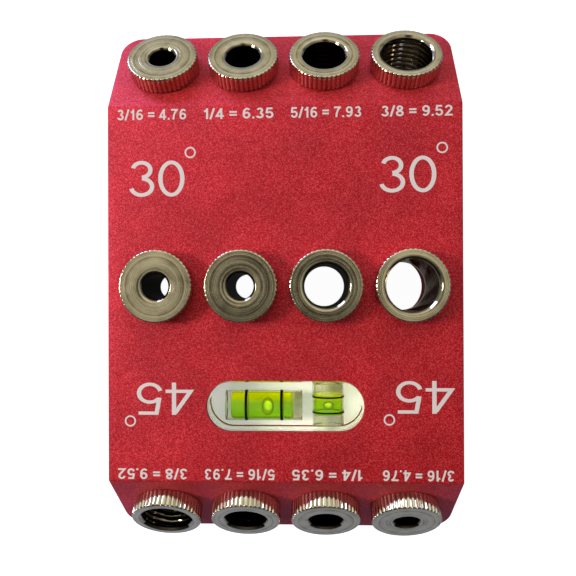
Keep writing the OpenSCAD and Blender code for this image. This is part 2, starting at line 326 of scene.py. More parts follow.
redFinish = makeAnodisedRed()
nickelFinish = makeTurnedNickel()
housingFinish = makeClearAcrylic("clearHousingAcrylic", "#f4f6f2", waver=0.02, gloss=0.2)
vialFinish = makeClearAcrylic("clearVialAcrylic", "#f4f6e2", waver=0.01, gloss=0.1)
plugFinish = makeClearAcrylic("tintedPlugAcrylic", "#d6d690", waver=0.01, gloss=0.1, glow=0.07)
liquidFinish = makeLimeLiquid(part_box("long_liquid"))
bubbleFinish = makeBubbleAir(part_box("long_bubble"))
ringFinish = makeMatt("blackRingPrint", "#020302", "#070807",
                      grain=0.05, roughness=0.8, depth=0.002, gloss=0.1)
padFinish = makeMatt("whiteFoamTape", "#e6e6df", "#f6f6f1",
                     grain=0.12, roughness=0.8, depth=0.01, glow=0.3)
markFinish = makeMatt("laserWhitenedOxide", "#d6d0d8", "#e8e6ee",
                      grain=0.1, roughness=0.65, depth=0.003)
print("materials ready")


# Making meshes

def finishPiece(piece, material, body, replaced, sharpAngle=30):
    # shades the piece, gives it its finish and seats it on its body
    mesh = piece.data
    mesh.materials.clear()
    mesh.materials.append(material)
    mesh.shade_smooth()
    mesh.set_sharp_from_angle(angle=math.radians(sharpAngle))
    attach(piece, body)
    if replaced:
        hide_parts(replaced)
    print("made", piece.name, "with", len(mesh.polygons), "faces")


def addObject(name, mesh):
    piece = bpy.data.objects.new(name, mesh)
    bpy.context.collection.objects.link(piece)
    return piece


def bakeModifiers(piece):
    # turns the modified shape into the piece's own plain mesh
    depsgraph = bpy.context.evaluated_depsgraph_get()
    mesh = bpy.data.meshes.new_from_object(piece.evaluated_get(depsgraph))
    piece.modifiers.clear()
    old = piece.data
    piece.data = mesh
    if old.users == 0:
        bpy.data.meshes.remove(old)


def cutAway(piece, cutters):
    # takes every cutter out of the piece and deletes the cutters
    for cutter in cutters:
        modifier = piece.modifiers.new("cut", "BOOLEAN")
        modifier.operation = "DIFFERENCE"
        modifier.solver = "EXACT"
        modifier.object = cutter
    bakeModifiers(piece)
    for cutter in cutters:
        bpy.data.objects.remove(cutter, do_unlink=True)


def addShape(name, build):
    # an object whose mesh is made by a function that fills a bmesh
    bm = bmesh.new()
    build(bm)
    mesh = bpy.data.meshes.new(name)
    bm.to_mesh(mesh)
    bm.free()
    return addObject(name, mesh)


def joinRings(bm, rings, count):
    # faces between each ring of points and the next, where a ring of one point is a tip
    made = []
    for low, high in zip(rings, rings[1:]):
        for i in range(count):
            j = (i + 1) % count
            corners = [low[i % len(low)], low[j % len(low)], high[j % len(high)], high[i % len(high)]]
            unique = list(dict.fromkeys(corners))
            if len(unique) > 2:
                made.append(bm.faces.new(unique))
    return made


def turnedSolid(bm, outline, segments, place, closed=False):
    # solid of revolution about Z from (radius, height) points that start and end on the axis,
    # or a ring from a closed outline
    rings = []
    for radius, height in outline:
        turns = [math.tau * i / segments for i in range(segments if radius > 1e-9 else 1)]
        rings.append([bm.verts.new((radius * math.cos(t), radius * math.sin(t), height))
                      for t in turns])
    made = joinRings(bm, rings + (rings[:1] if closed else []), segments)
    bmesh.ops.recalc_face_normals(bm, faces=made)
    bmesh.ops.transform(bm, matrix=place, verts=[v for ring in rings for v in ring])


def addSlab(bm, low, high, steps, radius=None, grow=0.0):
    # upright prism with round corners in a box, let out by grow at its sides; without a radius it
    # has round ends
    middle = (low + high) / 2
    width, length = high.x - low.x + 2 * grow, high.y - low.y + 2 * grow
    radius = radius or length / 2
    points = []
    for cornerX, cornerY, start in ((1, 1, 0), (-1, 1, 90), (-1, -1, 180), (1, -1, 270)):
        for i in range(steps + 1):
            angle = math.radians(start + 90 * i / steps)
            points.append((middle.x + cornerX * (width / 2 - radius) + radius * math.cos(angle),
                           middle.y + cornerY * (length / 2 - radius) + radius * math.sin(angle),
                           low.z))
    # where two quarter rounds meet, their shared point is kept once
    outline = [p for p, before in zip(points, points[-1:] + points[:-1]) if math.dist(p, before) > 1e-7]
    face = bm.faces.new([bm.verts.new(p) for p in outline])
    pushed = bmesh.ops.extrude_face_region(bm, geom=[face])
    moved = [item for item in pushed["geom"] if isinstance(item, bmesh.types.BMVert)]
    bmesh.ops.translate(bm, verts=moved, vec=(0, 0, high.z - low.z))
    bmesh.ops.recalc_face_normals(bm, faces=bm.faces)


def turnedCutter(outline, segments, place):
    return addShape("cutter", lambda bm: turnedSolid(bm, outline, segments, place))


# Where the bushes stand, from the record's mounts

bush = {
    "headRadius": 6.7,       # mm, over the teeth
    "headHeight": 3.2,
    "shankRadius": 6.0,
    "shankLength": 10.3,
    "mouthBevel": 0.4,       # of the bore, at its upper end
    "exitBevel": 0.25,       # and at its lower end
    "rimBevel": 0.35,        # round the head's face
    "rimSteps": 8,
    "seatBevel": 0.25,       # under the head
    "faceInset": 0.05,       # from the edges of the flat face to its own rings
    "teeth": 46,
    "toothDepth": 0.3,
    "crestShare": 0.45,      # of the pitch
    "toothSteps": 8,         # corners round one tooth
    "turnEach": 23,          # degrees that each bush stands turned from the one before
    "threadPitch": 1.25,
    "threadDepth": 0.62,
    "rowsPerPitch": 8,       # of the profile, in threads and drill marks
    "leadLength": 0.9,       # taper at the shank's end
    "reliefWidth": 1.0,      # groove under the head
    "reliefRadius": 5.6,
    "spiralPitch": 1.0,      # drill marks left in the bores, deeper in the larger ones
    "spiralLimits": (2.8, 3.5, 4.5),         # bore radii between one size and the next
    "spiralShares": (0.0, 0.12, 0.4, 1.0),
    "spiralDepth": 0.15,
    "boreShadeShares": (1.0, 0.95, 0.65, 0.2),    # how far painted shade darkens the bore of each size
    "rowShadeShares": {"30": 0.0, "90": 0.2, "45": 0.6},   # and at least that of each row
}


def bushPlaces():
    # node, bore radius, axis and the point where the axis meets the block's face
    found = []
    for mount in frame["record"]["mounts"]:
        if mount["kind"] == "bore":
            axis = Vector(mount["axis"])
            back = mount["dims"]["length_mm"] / 2 - bush["shankLength"]
            found.append({
                "node": "bush" + mount["name"][4:],
                "boreRadius": mount["dims"]["r_mm"],
                "axis": axis,
                "seat": Vector(mount["pos_m"]) - axis * back * mm,
            })
    return found


def facing(axis, point, turn=0.0):
    # stands a piece drawn along Z on its axis, turned about itself first
    lean = math.atan2(-axis.y, axis.z)
    return Matrix.Translation(point) @ Matrix.Rotation(lean, 4, "X") @ Matrix.Rotation(turn, 4, "Z")


bushes = bushPlaces()


# The bushes: one profile, turned about its axis, with teeth and threads that follow a rule

def bushProfile(boreRadius, spiral):
    # closed profile as (radius, height, tooth share, thread share, spiral share), in mm
    b = bush
    head, top, low = b["headRadius"], b["headHeight"], -b["shankLength"]
    rim, seat, inset, bevel = b["rimBevel"], b["seatBevel"], b["faceInset"], b["mouthBevel"]
    threadTop, threadLow = -b["reliefWidth"] - 0.3, low + b["leadLength"]

    def smooth(*pairs):
        return [(radius, height, 0, 0, 0) for radius, height in pairs]

    points = smooth((b["shankRadius"] + 0.2, 0))
    points += [(head - seat + seat * i / 4, seat * i / 4, 1, 0, 0) for i in range(5)]
    points += [(head, seat + (top - rim - seat) * i / 4, 1, 0, 0) for i in range(1, 4)]
    # the bevel is turned across the teeth, so that it cuts their tips and leaves scallops
    turns = [math.pi / 2 * i / b["rimSteps"] for i in range(b["rimSteps"] + 1)]
    points += [(head - rim * (1 - math.cos(t)), top - rim + rim * math.sin(t), 1, 0, 0) for t in turns]
    # flat face in a few rings, so that its shading stays even
    mouth = boreRadius + bevel
    outer, inner = head - rim - inset, mouth + inset
    points += smooth(*[(outer + (inner - outer) * i / 3, top) for i in range(4)])
    # the mouth's bevel, eased where it meets the face and the bore
    points += smooth((mouth, top - 0.015), (mouth - 0.06, top - 0.065),
                     (boreRadius + 0.05, top - bevel + 0.06))
    # the drill's marks fade out over the first and the last twelfth of the bore
    boreTop, boreLow = top - bevel, low + b["exitBevel"]
    steps = int((boreTop - boreLow) / b["spiralPitch"] * b["rowsPerPitch"]) if spiral else 6
    for i in range(steps + 1):
        share = i / steps
        fade = min(1, 12 * share, 12 * (1 - share)) * spiral
        points.append((boreRadius, boreTop + (boreLow - boreTop) * share, 0, 0, fade))
    points += smooth((boreRadius + b["exitBevel"], low), (b["shankRadius"] - b["leadLength"], low))
    # the threads rise out of the taper and run up to the groove
    steps = int((threadTop - low - 0.3) / b["threadPitch"] * b["rowsPerPitch"])
    for i in range(steps + 1):
        height = low + 0.2 + (threadTop - low - 0.2) * i / steps
        lead = max(0, threadLow - height)
        points.append((b["shankRadius"] - lead, height, 0, min(1, 1 - lead / b["leadLength"]), 0))
    return points + smooth((b["reliefRadius"], threadTop + 0.35), (b["reliefRadius"], -0.15),
                           (b["reliefRadius"] + 0.15, 0))


def profileObject(name, points, boreRadius, boreShare):
    # carries the profile into the node tree, with its shares as attributes
    mesh = bpy.data.meshes.new(name)
    mesh.from_pydata([(p[0] * mm, 0, p[1] * mm) for p in points], [], [])
    shares = {
        "toothShare": [p[2] for p in points],
        "threadShare": [p[3] for p in points],
        "spiralShare": [p[4] for p in points],
        "boreShare": [boreShare if p[0] < boreRadius + 0.2 else 0 for p in points],
        "faceShare": [p[1] > bush["headHeight"] - 0.001 for p in points],
    }
    for attributeName, values in shares.items():
        attribute = mesh.attributes.new(attributeName, "FLOAT", "POINT")
        attribute.data.foreach_set("value", [float(v) for v in values])
    return addObject(name, mesh)


def makeBushTree():
    # lathe: a grid whose first way runs along the profile and whose second way goes round the axis
    tree = bpy.data.node_groups.new("turnedBush", "GeometryNodeTree")
    tree.interface.new_socket("Geometry", in_out="OUTPUT", socket_type="NodeSocketGeometry")
    inputs = {
        "Profile": "Object", "Material": "Material", "Teeth": "Int", "Steps Per Tooth": "Int",
        "Tooth Crest": "Float", "Tooth Depth": "Float", "Thread Depth": "Float",
        "Thread Pitch": "Float", "Spiral Depth": "Float", "Spiral Pitch": "Float",
    }
    for name, kind in inputs.items():
        tree.interface.new_socket(name, in_out="INPUT", socket_type="NodeSocket" + kind)
    given = addNode(tree, "NodeGroupInput").outputs
    profile = addNode(tree, "GeometryNodeObjectInfo", {"Object": given["Profile"]}).outputs["Geometry"]
    count = addNode(tree, "GeometryNodeAttributeDomainSize", {0: profile}, component="MESH")
    here = addNode(tree, "GeometryNodeInputPosition").outputs[0]
    where = addNode(tree, "ShaderNodeSeparateXYZ", {0: here}).outputs
    value = {name: given[name] for name in inputs}
    value.update(rows=count.outputs["Point Count"], x=where["X"], y=where["Y"])
    # what the profile holds in each row of the grid; the number of the row is joined on below
    samplers = []
    for name in ("toothShare", "threadShare", "spiralShare", "boreShare", "faceShare", "point"):
        kind = "FLOAT_VECTOR" if name == "point" else "FLOAT"
        held = here if name == "point" else addNode(
            tree, "GeometryNodeInputNamedAttribute", {"Name": name}, data_type=kind).outputs[0]
        samplers.append(addNode(tree, "GeometryNodeSampleIndex", {
            "Geometry": profile, "Value": held}, data_type=kind))
        value[name] = samplers[-1].outputs[0]
    point = addNode(tree, "ShaderNodeSeparateXYZ", {0: value["point"]}).outputs
    value.update(reach=point["X"], height=point["Z"])

    # each row names a result and what it starts from, then the sums done on it, in order
    for name, start, *sums in (
            ("around", "Teeth", ("MULTIPLY", "Steps Per Tooth"), ("ADD", 1)),
            ("last", "rows", ("SUBTRACT", 1)),
            ("row", "x", ("ADD", 0.5), ("MULTIPLY", "last"), ("ROUND",)),
            ("turn", "y", ("ADD", 0.5)),
            # a tooth is a flat crest that falls away to a sharp root
            ("tooth", "turn", ("MULTIPLY", "Teeth"), ("FRACT",), ("SUBTRACT", 0.5), ("ABSOLUTE",),
             ("MULTIPLY", 2), ("SUBTRACT", bush["crestShare"]), ("DIVIDE", 1 - bush["crestShare"]),
             ("MAXIMUM", 0), ("MULTIPLY", "Tooth Depth")),
            # the teeth stand inside whatever is turned over them
            ("untoothed", 1, ("SUBTRACT", "toothShare")),
            ("limit", "Tooth Crest", ("SUBTRACT", "tooth"), ("ADD", "untoothed")),
            # threads climb one pitch a turn, and so do the drill's marks in the bore
            ("thread", "height", ("DIVIDE", "Thread Pitch"), ("SUBTRACT", "turn"), ("FRACT",),
             ("SUBTRACT", 0.5), ("ABSOLUTE",), ("MULTIPLY", 2), ("MULTIPLY", "Thread Depth"),
             ("MULTIPLY", "threadShare")),
            ("spiral", "height", ("DIVIDE", "Spiral Pitch"), ("SUBTRACT", "turn"),
             ("MULTIPLY", math.pi), ("SINE",), ("ABSOLUTE",), ("MULTIPLY", "Spiral Depth"),
             ("MULTIPLY", "spiralShare")),
            ("radius", "reach", ("MINIMUM", "limit"), ("SUBTRACT", "thread"), ("ADD", "spiral")),
            ("angle", "turn", ("MULTIPLY", math.tau)),
            ("outX", "angle", ("COSINE",), ("MULTIPLY", "radius")),
            ("outY", "angle", ("SINE",), ("MULTIPLY", "radius")),
            # turning marks run round the axis, so on the face the way across them is outwards
            ("quarter", 1, ("SUBTRACT", "faceShare"), ("MULTIPLY", math.pi / 2)),
            ("wayX", "angle", ("ADD", "quarter"), ("COSINE",)),
            ("wayY", "angle", ("ADD", "quarter"), ("SINE",))):
        result = value.get(start, start)
        for operation, *terms in sums:
            links = dict(enumerate([result] + [value.get(term, term) for term in terms]))
            result = addNode(tree, "ShaderNodeMath", links, operation=operation).outputs[0]
        value[name] = result

    for sampler in samplers:
        setSockets(tree, sampler, {"Index": value["row"]})
    for name, terms in (("position", ("outX", "outY", "height")),
                        ("turned", ("reach", "faceShare", "boreShare")),
                        ("acrossGrooves", ("wayX", "wayY"))):
        value[name] = addNode(tree, "ShaderNodeCombineXYZ", {
            i: value[term] for i, term in enumerate(terms)}).outputs[0]
    grid = addNode(tree, "GeometryNodeMeshGrid", {
        "Size X": 1.0, "Size Y": 1.0, "Vertices X": value["rows"], "Vertices Y": value["around"]})
    marked = grid.outputs["Mesh"]
    for name in ("turned", "acrossGrooves"):
        marked = addNode(tree, "GeometryNodeStoreNamedAttribute", {
            "Geometry": marked, "Name": name, "Value": value[name]},
            data_type="FLOAT_VECTOR", domain="POINT").outputs[0]
    shaped = addNode(tree, "GeometryNodeSetPosition", {
        "Geometry": marked, "Position": value["position"]})
    closed = addNode(tree, "GeometryNodeMergeByDistance", {
        "Geometry": shaped.outputs[0], "Distance": 1e-6})
    real = addNode(tree, "GeometryNodeRealizeInstances", {0: closed.outputs[0]})
    painted = addNode(tree, "GeometryNodeSetMaterial", {
        "Geometry": real.outputs[0], "Material": given["Material"]})
    addNode(tree, "NodeGroupOutput", {0: painted.outputs[0]})
    return tree


def setInputs(modifier, values):
    # modifier inputs are set by identifier, found from the socket's name
    for item in modifier.node_group.interface.items_tree:
        if item.item_type == "SOCKET" and item.in_out == "INPUT" and item.name in values:
            modifier[item.identifier] = values[item.name]


def signedVolume(mesh):
    mesh.calc_loop_triangles()
    corners = [v.co for v in mesh.vertices]
    return sum(corners[t.vertices[0]].dot(corners[t.vertices[1]].cross(corners[t.vertices[2]]))
               for t in mesh.loop_triangles) / 6


def makeBush(place, number, tree):
    sizeNumber = sum(place["boreRadius"] > limit for limit in bush["spiralLimits"])
    spiral = bush["spiralShares"][sizeNumber]
    points = bushProfile(place["boreRadius"], spiral)
    points.append(points[0])
    # painted shade in the bore, by its size and at least that of its row
    boreShare = max(bush["boreShadeShares"][sizeNumber], bush["rowShadeShares"][place["node"].split("_")[1]])
    profile = profileObject("profile", points, place["boreRadius"], boreShare)
    piece = addObject(place["node"].replace("bush", "turnedBush"), bpy.data.meshes.new("bush"))
    modifier = piece.modifiers.new("lathe", "NODES")
    modifier.node_group = tree
    setInputs(modifier, {
        "Profile": profile, "Material": nickelFinish,
        "Teeth": bush["teeth"], "Steps Per Tooth": bush["toothSteps"],
        "Tooth Crest": bush["headRadius"] * mm,
        "Tooth Depth": bush["toothDepth"] * mm, "Thread Depth": bush["threadDepth"] * mm,
        "Thread Pitch": bush["threadPitch"] * mm, "Spiral Depth": bush["spiralDepth"] * mm,
        "Spiral Pitch": bush["spiralPitch"] * mm})
    bakeModifiers(piece)
    bpy.data.objects.remove(profile, do_unlink=True)
    if signedVolume(piece.data) < 0:
        piece.data.flip_normals()
    stand = facing(place["axis"], place["seat"], math.radians(bush["turnEach"] * number))
    piece.data.transform(stand)
    for item in piece.data.attributes["acrossGrooves"].data:
        item.vector = stand.to_3x3() @ item.vector
    finishPiece(piece, nickelFinish, place["node"] + "_body", place["node"], 35)


bushTree = makeBushTree()
for number, place in enumerate(bushes):
    makeBush(place, number, bushTree)


# The block

block = {
    "drop30": 10.0,       # mm that each sloping face falls
    "drop45": 13.7,
    "cornerRadius": 4.0,
    "cornerSteps": 14,
    "edge": 0.3,
    "holeRadius": 6.05,
    "holeSegments": 96,
    "exitBevel": 0.6,
    "mouthBevel": 0.12,
    "cutterLength": 60,   # mm, past the underside from anywhere
    "cutterRise": 5,      # mm that a cutter stands out above its face
    "cutterFoot": 2,      # mm that it stands out below the underside
    "wallBand": 0.03,     # mm from a hole's radius within which a face belongs to its wall
    "wallLean": 0.05,     # and how far it may lean towards the axis
}


def markTaps(mesh):
    # notes which faces are the walls of holes, and how deep their corners lie
    depth = mesh.attributes.new("holeDepth", "FLOAT", "POINT")
    tapped = mesh.attributes.new("tapped", "FLOAT", "FACE")
    radius, band = block["holeRadius"] * mm, block["wallBand"] * mm
    for place in bushes:
        axis, seat = place["axis"], place["seat"]
        for face in mesh.polygons:
            away = face.center - seat
            out = (away - axis * away.dot(axis)).length
            if abs(out - radius) < band and abs(face.normal.dot(axis)) < block["wallLean"]:
                tapped.data[face.index].value = 1
                for corner in face.vertices:
                    depth.data[corner].value = (mesh.vertices[corner].co - seat).dot(axis)


def makeBlock():
    low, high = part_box("guide_block")
    b = block

    def build(bm):
        addSlab(bm, low, high, b["cornerSteps"], b["cornerRadius"] * mm)
        for drop, slope, side in ((b["drop30"], 30, 1), (b["drop45"], 45, -1)):
            end = Vector((0, high.y if side > 0 else low.y, high.z - drop * mm))
            normal = Vector((0, side * math.sin(math.radians(slope)), math.cos(math.radians(slope))))
            cut = bmesh.ops.bisect_plane(bm, geom=bm.verts[:] + bm.edges[:] + bm.faces[:],
                                         plane_co=end, plane_no=normal, clear_outer=True)
            rim = [item for item in cut["geom_cut"] if isinstance(item, bmesh.types.BMEdge)]
            bmesh.ops.holes_fill(bm, edges=rim)
        bmesh.ops.recalc_face_normals(bm, faces=bm.faces)
        creases = [e for e in bm.edges if e.calc_face_angle(0) > math.radians(20)]
        bmesh.ops.bevel(bm, geom=creases, offset=b["edge"] * mm, segments=3, profile=0.5,
                        affect="EDGES", clamp_overlap=True)

    piece = addShape("machinedBlock", build)
    r, bevel, mouth, rise = b["holeRadius"], b["exitBevel"], b["mouthBevel"], b["cutterRise"]
    cutters = []
    for place in bushes:
        outline = [(0, -b["cutterLength"]), (r, -b["cutterLength"])]
        if place["axis"].z > 0.999:
            # an upright hole is bevelled where it leaves the underside
            under = -place["seat"].z / mm
            foot = under - b["cutterFoot"]
            outline = [(0, foot), (r + bevel + b["cutterFoot"], foot), (r, under + bevel)]
        outline += [(r, -mouth), (r + mouth, 0), (r + mouth, rise), (0, rise)]
        cutters.append(turnedCutter([(x * mm, z * mm) for x, z in outline], b["holeSegments"],
                                    facing(place["axis"], place["seat"])))
    cutAway(piece, cutters + [levelCutter()])
    markTaps(piece.data)
    finishPiece(piece, redFinish, "block", "guide_block", 25)


level = {
    "gap": 0.12,       # mm round the housing in its pocket
    "topEdge": 0.45,   # round on the housing's upper rim
    "lowEdge": 0.15,
    "lift": 0.03,      # thickness of the glue between the pad and the housing
    "padInset": 0.22,  # the pad is cut a little smaller than the housing
    "cutterRise": 3,
    "steps": 24,
}


def levelCutter():
    low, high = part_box("level_housing")
    low.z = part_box("level_pad")[0].z
    high.z += level["cutterRise"] * mm
    return addShape("cutter", lambda bm: addSlab(bm, low, high, level["steps"], grow=level["gap"] * mm))


makeBlock()
print("block ready")


# Marks on the block

marks = {
    "lift": 0.012,               # mm that the whitened skin stands off the block, so that it shows
    "strokeLift": 0.0006,        # mm that each stroke lies above the last, so that none share a plane
    "sizes": ("3/16 = 4.76", "1/4 = 6.35", "5/16 = 7.93", "3/8 = 9.52"),
    "sizeBox": (13.0, 2.15),     # mm, width and height of a row of numbers
    "smallStroke": 0.165,        # share of a numeral's height
    "smallGap": 0.13,
    "bigStroke": 0.102,
    "bigGap": 0.075,
    "sizeX": (-24.6, -8.3, 7.9, 24.6),
    "sizeY": {"30": 31.65, "45": -35.4},
    "thirtyBox": (10.4, 6.75),
    "thirtyAt": ((-23.65, 19.65), (22.9, 20.0)),
    "fortyFiveBox": (10.8, 6.0),
    "fortyFiveAt": ((-22.15, -21.4), (25.95, -21.0)),
    "degreeRadius": 1.05,
    "degreeBore": 0.76,
    "degreeSteps": 48,
    "degreeFrom30": (6.28, 4.82),   # mm from the middle of its number
    "degreeFrom45": (-6.62, -4.17),
}
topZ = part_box("guide_block")[1].z


def arc(centreX, centreY, radiusX, radiusY, start, end, steps=20):
    angles = [math.radians(start + (end - start) * i / steps) for i in range(steps + 1)]
    return [(centreX + radiusX * math.cos(a), centreY + radiusY * math.sin(a)) for a in angles]


def numeralStrokes(stroke):
    # middle lines of plain numerals in cells one unit high, each with the width of its cell
    h = stroke / 2
    top, right = 1 - h, 0.62 - h
    six = [arc(0.32, 0.32, 0.30 - h, 0.32 - h, 90, 450, 40), arc(0.36, 0.5, 0.34 - h, 0.5 - h, 196, 48)]
    return {
        "0": ([arc(0.31, 0.5, 0.31 - h, 0.5 - h, 90, 450, 48)], 0.62),
        "1": ([[(0.06, 0.72), (0.20, 0.76), (0.27, 0.86), (0.30, 1.0)],
               [(0.30, 1.0), (0.30, 0)]], 0.42),
        "2": ([arc(0.31, 0.71, 0.30 - h, 0.29 - h, 175, -35) + [(h + 0.02, h), (right + h, h)]], 0.62),
        "3": ([arc(0.30, 0.745, 0.26 - h, 0.255 - h, 165, -88),
               arc(0.30, 0.28, 0.30 - h, 0.28 - h, 88, -168)], 0.62),
        "4": ([[(0.44, 0), (0.44, 1.0)],
               [(0.44 - h * 0.45, 1.0 - h), (h * 0.9, 0.27), (0.64, 0.27)]], 0.64),
        "5": ([[(right, top), (0.14, top), (0.07, 0.47)],
               arc(0.30, 0.33, 0.31 - h, 0.33 - h, 142, -165)], 0.62),
        "6": (six, 0.64),
        "7": ([[(0, top), (right + h * 0.4, top)], arc(0.72, -0.02, 0.50, 0.98, 102, 178)], 0.62),
        "8": ([arc(0.31, 0.745, 0.26 - h, 0.255 - h, 90, 450, 36),
               arc(0.31, 0.28, 0.31 - h, 0.28 - h, 90, 450, 40)], 0.62),
        "9": ([[(0.64 - x, 1 - y) for x, y in line] for line in six], 0.64),
        "/": ([[(0.0, -0.02), (0.30, 1.02)]], 0.30),
        "=": ([[(0.02, 0.36), (0.60, 0.36)], [(0.02, 0.64), (0.60, 0.64)]], 0.62),
        ".": ([[(h, 0), (h, stroke)]], stroke),
        " ": ([], 0.16),
    }


def addRibbon(bm, line, width, height):
    # flat band of even width along a line of points
    count = len(line)
    closed = math.dist(line[0], line[-1]) < 1e-6
    sides = []
    for i, (x, y) in enumerate(line):
        before = line[i - 1] if i > 0 else (line[-2] if closed else None)
        after = line[i + 1] if i < count - 1 else (line[1] if closed else None)
        into = Vector((x - before[0], y - before[1])).normalized() if before else None
        out = Vector((after[0] - x, after[1] - y)).normalized() if after else None
        into, out = into or out, out or into
        mid = (into + out).normalized()
        # a sharp corner reaches out only so far
        side = Vector((-mid.y, mid.x)) * (width / 2 / max(0.35, mid.dot(out)))
        sides.append((bm.verts.new((x + side.x, y + side.y, height)),
                      bm.verts.new((x - side.x, y - side.y, height))))
    for (a, b), (c, d) in zip(sides, sides[1:]):
        bm.faces.new([a, b, d, c])


def setNumbers(name, words, centre, box, stroke, gap, upsideDown=False):
    # plain numbers that fill a box on the flat top, given in mm
    strokes = numeralStrokes(stroke)

    def build(bm):
        reach, layer = 0.0, 0
        for sign in words:
            lines, width = strokes[sign]
            for line in lines:
                addRibbon(bm, [(reach + x, y) for x, y in line], stroke, layer * marks["strokeLift"])
                layer += 1
            reach += width + gap

    piece = addShape(name, build)
    low, high = [Vector([most(v.co[i] for v in piece.data.vertices) for i in range(2)] + [0])
                 for most in (min, max)]
    size = high - low
    place = Matrix.Translation((centre[0] * mm, centre[1] * mm, topZ + marks["lift"] * mm))
    turn = Matrix.Rotation(math.pi if upsideDown else 0, 4, "Z")
    scale = Matrix.Diagonal((box[0] * mm / size.x, box[1] * mm / size.y, mm, 1))
    piece.data.transform(place @ turn @ scale @ Matrix.Translation(-(low + high) / 2))
    finishPiece(piece, markFinish, "block", None)


def setDegreeRing(name, number, step):
    x, y = [(a + b) * mm for a, b in zip(number, step)]
    steps = marks["degreeSteps"]

    def build(bm):
        turns = [math.tau * i / steps for i in range(steps)]
        loops = [[bm.verts.new((x + radius * mm * math.cos(t), y + radius * mm * math.sin(t),
                                topZ + marks["lift"] * mm)) for t in turns]
                 for radius in (marks["degreeRadius"], marks["degreeBore"])]
        joinRings(bm, loops, steps)

    finishPiece(addShape(name, build), markFinish, "block", None)


def makeMarks():
    m = marks
    for i, x in enumerate(m["sizeX"]):
        for row, words in (("30", m["sizes"][i]), ("45", m["sizes"][-1 - i])):
            setNumbers("drillSize" + row + "number" + str(i + 1), words, (x, m["sizeY"][row]),
                       m["sizeBox"], m["smallStroke"], m["smallGap"], row == "45")
    for side, at30, at45 in zip(("Left", "Right"), m["thirtyAt"], m["fortyFiveAt"]):
        setNumbers("thirty" + side, "30", at30, m["thirtyBox"], m["bigStroke"], m["bigGap"])
        setDegreeRing("degreeOfThirty" + side, at30, m["degreeFrom30"])
        setNumbers("fortyFive" + side, "45", at45, m["fortyFiveBox"], m["bigStroke"], m["bigGap"], True)
        setDegreeRing("degreeOfFortyFive" + side, at45, m["degreeFrom45"])


makeMarks()
print("marks ready")


# The spirit level

vials = {
    "wall": 0.25,        # mm
    "endRounds": {"long": 0.6, "cross": 0.1},   # where the liquid meets its ends
    "endSteps": 8,
    "closedEnd": 1.0,
    "edge": 0.12,        # round on a vial's rims
    "segments": 64,
    "wetting": 0.01,     # the liquid reaches this far into the glass, so that no film of air shows
    "endWetting": 0.03,  # and this far into what closes its ends
    "ringLift": 0.02,    # mm
    "ringThickness": 0.02,
    "ringWidths": {"long": 0.5, "cross": 0.32},
    "ringSeat": 0.25,    # mm from the outer edge of a CAD band to its middle
    "plugEdge": 0.05,
    "crossPlugMore": 0.15,  # mm that the cross plugs reach further in than their CAD pieces
    "bubbleSteps": 40,
    "bubbleCrown": 0.25,    # share of a bubble's depth that lies above its widest part
}


def lyingAlong(ways, centre):
    # lays a piece drawn along Z on the X axis (0) or the Y axis (1)
    turn = Matrix.Rotation(-math.pi / 2, 4, "X") if ways else Matrix.Rotation(math.pi / 2, 4, "Y")
    return Matrix.Translation(centre) @ turn


def boxOf(node):
    low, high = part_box(node)
    return low, high, (low + high) / 2


def turnedPiece(name, outlines, place, finish, node, closed=False):
    # each outline is in metres, as (radius, height along the axis)
    def build(bm):
        for outline in outlines:
            turnedSolid(bm, outline, vials["segments"], place, closed)

    finishPiece(addShape(name, build), finish, "block", node, 40)


def quarterRound(edge, steps):
    # how far in and how far along each point of a quarter round lies, from its side to its end
    turns = [math.pi / 2 * i / steps for i in range(steps + 1)]
    return [(edge * (1 - math.cos(t)), edge * math.sin(t)) for t in turns]


def roundRod(radius, low, high, edge, steps=1):
    turns = [math.pi / 2 * i / steps for i in range(steps + 1)]
    rise = [(radius - edge + edge * math.sin(t), low + edge - edge * math.cos(t)) for t in turns]
    fall = [(radius - edge + edge * math.cos(t), high - edge + edge * math.sin(t)) for t in turns]
    return [(0, low)] + rise + fall + [(0, high)]


def seatCutter(node, ways):
    # a vial fills its seat: the two overlap by a hair, so that no film of air lies between them
    low, high, middle = boxOf(node)
    hair = vials["wetting"] * mm
    radius, half = (high.z - low.z) / 2 - hair, (high[ways] - low[ways]) / 2 - hair
    return turnedCutter([(0, -half), (radius, -half), (radius, half), (0, half)],
                        vials["segments"], lyingAlong(ways, middle))


def makeHousing():
    low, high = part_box("level_housing")
    low.z += level["lift"] * mm

    def build(bm):
        addSlab(bm, low, high, level["steps"])
        for height, edge, segments in ((high.z, level["topEdge"], 4), (low.z, level["lowEdge"], 2)):
            rim = [e for e in bm.edges if all(abs(v.co.z - height) < 1e-6 for v in e.verts)]
            bmesh.ops.bevel(bm, geom=rim, offset=edge * mm, segments=segments, profile=0.5,
                            affect="EDGES")

    piece = addShape("levelHousing", build)
    cutAway(piece, [seatCutter("long_vial", 0), seatCutter("cross_vial", 1)])
    finishPiece(piece, housingFinish, "block", "level_housing", 35)


def makePad():
    low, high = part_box("level_pad")
    piece = addShape("adhesivePad", lambda bm: addSlab(
        bm, low, high, level["steps"], grow=-level["padInset"] * mm))
    finishPiece(piece, padFinish, "block", "level_pad")


